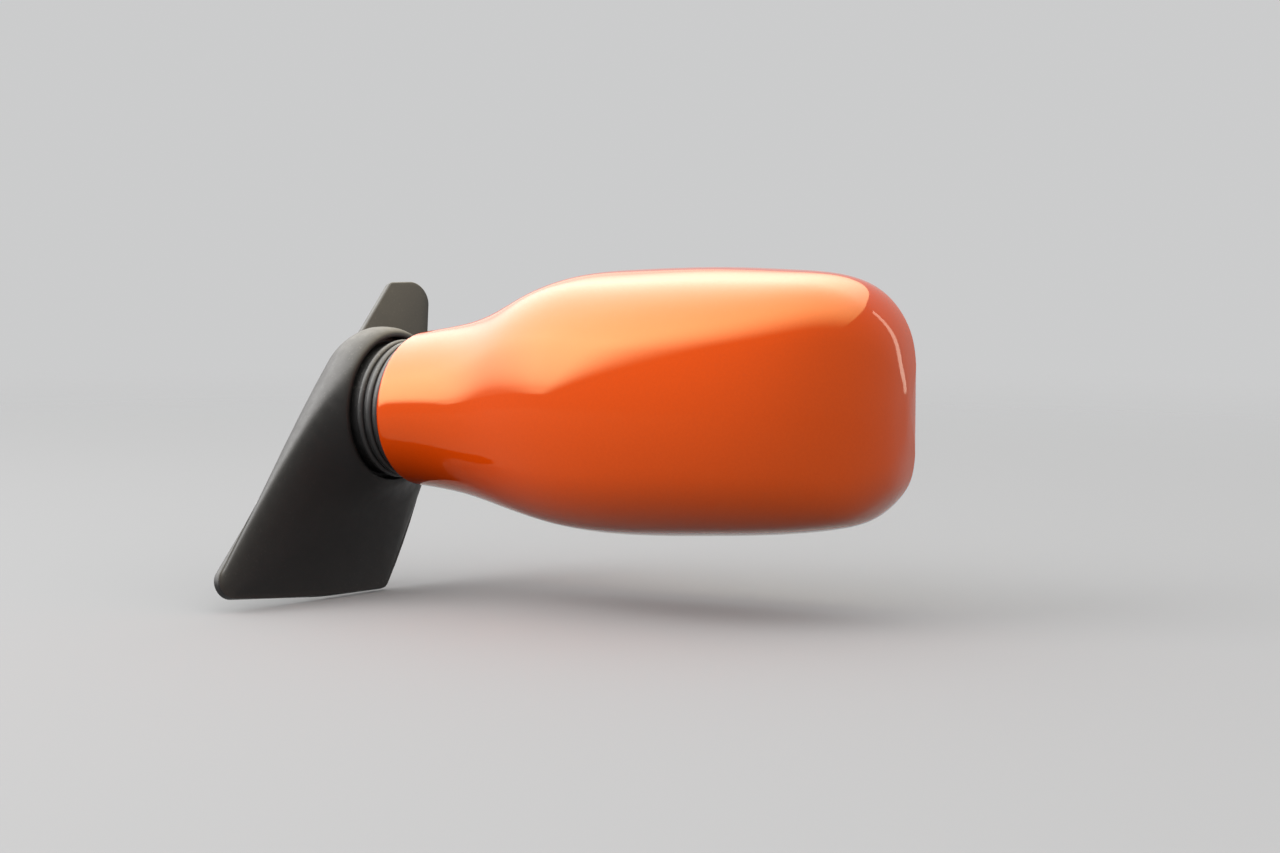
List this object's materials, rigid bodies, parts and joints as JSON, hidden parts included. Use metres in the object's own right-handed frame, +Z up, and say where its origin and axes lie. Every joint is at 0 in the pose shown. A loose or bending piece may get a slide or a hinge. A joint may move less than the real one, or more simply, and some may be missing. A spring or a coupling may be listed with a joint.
{
  "type": "car door mirror",
  "caption": "Left-hand exterior mirror of a low sports car: raked black foot, ribbed rubber neck joint that folds, and a long painted head with a small adjustable mirror glass.",
  "frame": {"origin": "middle of the foot's mounting face, on the outside of the door", "axes": "+X outboard, -Y towards the front of the car, +Z up; the mounting face leans inboard by 20 degrees and the arm points 15.5 degrees to the rear of +X"},
  "size_m": [0.2769, 0.1916, 0.1462],
  "materials": {
    "body_paint": "body colour paint under clear coat on a moulded shell, deep gloss",
    "black_moulding": "fine grained satin moulding",
    "gasket_rubber": "matt foam rubber",
    "bellows_rubber": "smooth satin rubber",
    "zinc_steel": "zinc plated, satin",
    "cast_alloy": "as cast, shot blasted",
    "frame_plastic": "glass filled moulding",
    "bezel_plastic": "smooth satin moulding",
    "adjuster_plastic": "plain moulding",
    "holder_plastic": "plain moulding",
    "mirror_glass": "first surface bright, slightly convex"
  },
  "bodies": {
    "base": {"sail_plate": "black_moulding", "foot_gasket": "gasket_rubber", "mounting_studs": "zinc_steel", "pedestal": "black_moulding", "fold_fork": "cast_alloy", "fold_pin": "zinc_steel", "bellows": "bellows_rubber"},
    "head": {"housing_shell": "body_paint", "frame_screws": "zinc_steel", "support_frame": "frame_plastic", "mouth_bezel": "bezel_plastic", "adjuster_housing": "adjuster_plastic"},
    "pivot": {"pivot_ball": "zinc_steel"},
    "glass": {"glass_holder": "holder_plastic", "mirror_glass": "mirror_glass"}
  },
  "joints": [
    {"name": "fold", "type": "hinge", "parent": "base", "child": "head", "pos_m": [0.03091, 0.05039, 0.0338], "axis": [0, 0, 1], "range_deg": [0, 55], "deforming": ["bellows"]},
    {"name": "glass_pan", "type": "hinge", "parent": "head", "child": "pivot", "pos_m": [0.16795, 0.07749, 0.0404], "axis": [0, 0, 1], "range_deg": [-8, 8]},
    {"name": "glass_tilt", "type": "hinge", "parent": "pivot", "child": "glass", "pos_m": [0.16795, 0.07749, 0.0404], "axis": [0.9636, 0.2672, 0], "range_deg": [-8, 8]}
  ]
}
